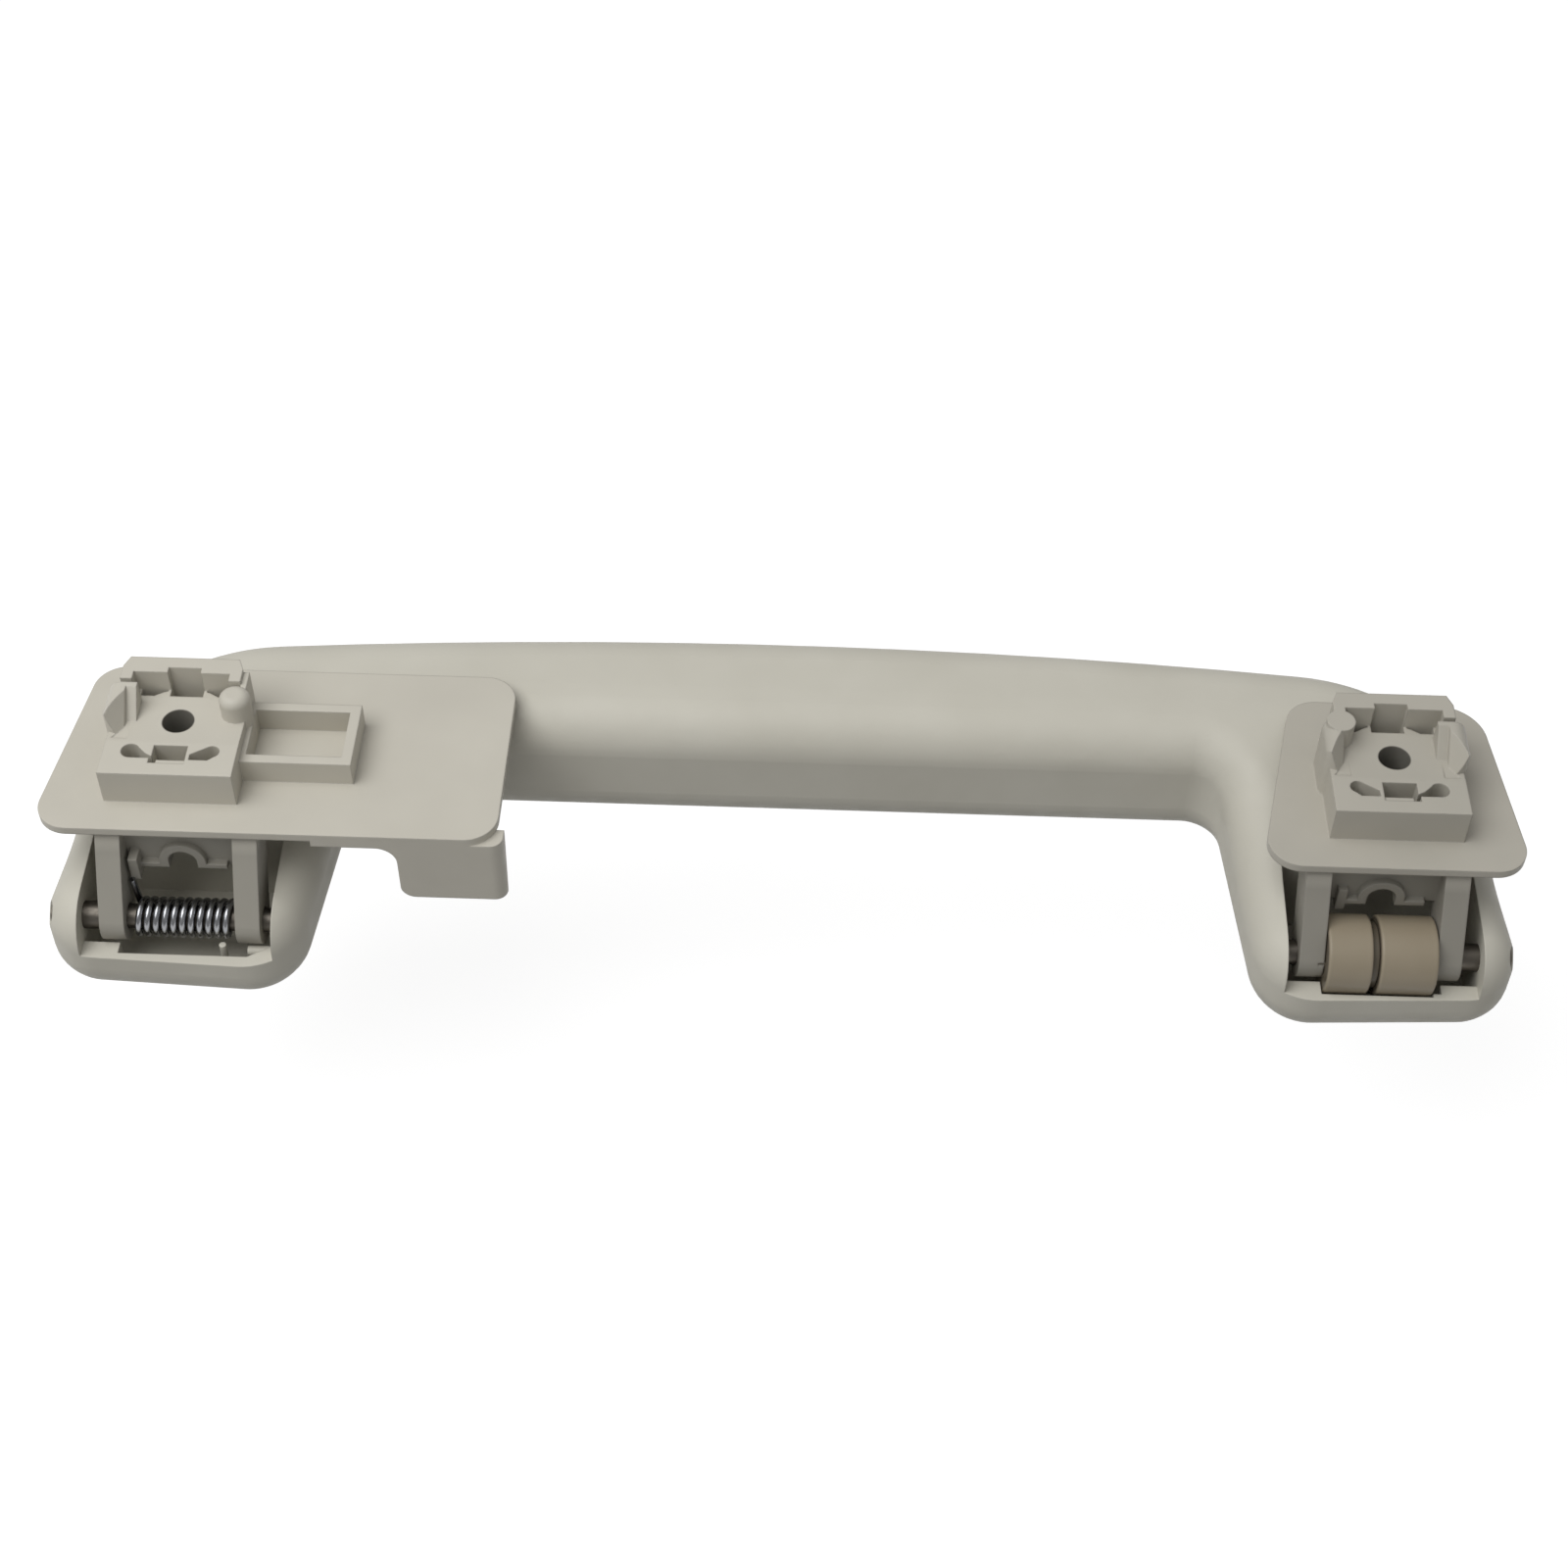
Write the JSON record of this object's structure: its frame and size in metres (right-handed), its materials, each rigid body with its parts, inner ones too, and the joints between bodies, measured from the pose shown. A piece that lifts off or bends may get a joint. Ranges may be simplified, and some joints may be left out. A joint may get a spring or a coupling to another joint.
{
  "type": "roof grab handle",
  "caption": "Fold-down car roof grab handle with two screw-on hinge brackets, a return spring, a rotary damper and a coat hook.",
  "frame": {"origin": "midway between the two screw holes, on the mounting face of the brackets' plates", "axes": "+X along the handle, +Y from the leg ends towards the bar, +Z out of the mounting face, towards the roof"},
  "size_m": [0.2496, 0.0672, 0.0434],
  "materials": {
    "grip_plastic": "fine-grained warm grey moulding",
    "bracket_plastic": "smooth warm grey moulding",
    "pin_metal": "dull steel",
    "spring_wire": "drawn wire, dull grey",
    "damper_plastic": "satin tan moulding",
    "seal_rubber": "black rubber"
  },
  "bodies": {
    "brackets": {"hook_bracket": "bracket_plastic", "plain_bracket": "bracket_plastic", "damper_rotor": "damper_plastic", "damper_seal": "seal_rubber"},
    "grip": {"grip": "grip_plastic", "spring_side_pin": "pin_metal", "damper_side_pin": "pin_metal", "return_spring": "spring_wire", "damper_housing": "damper_plastic"}
  },
  "joints": [
    {"name": "handle_fold", "type": "hinge", "parent": "brackets", "child": "grip", "pos_m": [0, -0.0225, -0.018], "axis": [-1, 0, 0], "range_deg": [0, 90], "stiffness_Nm_per_rad": 0.1, "springref_deg": -57.3, "deforming": ["return_spring"]}
  ]
}
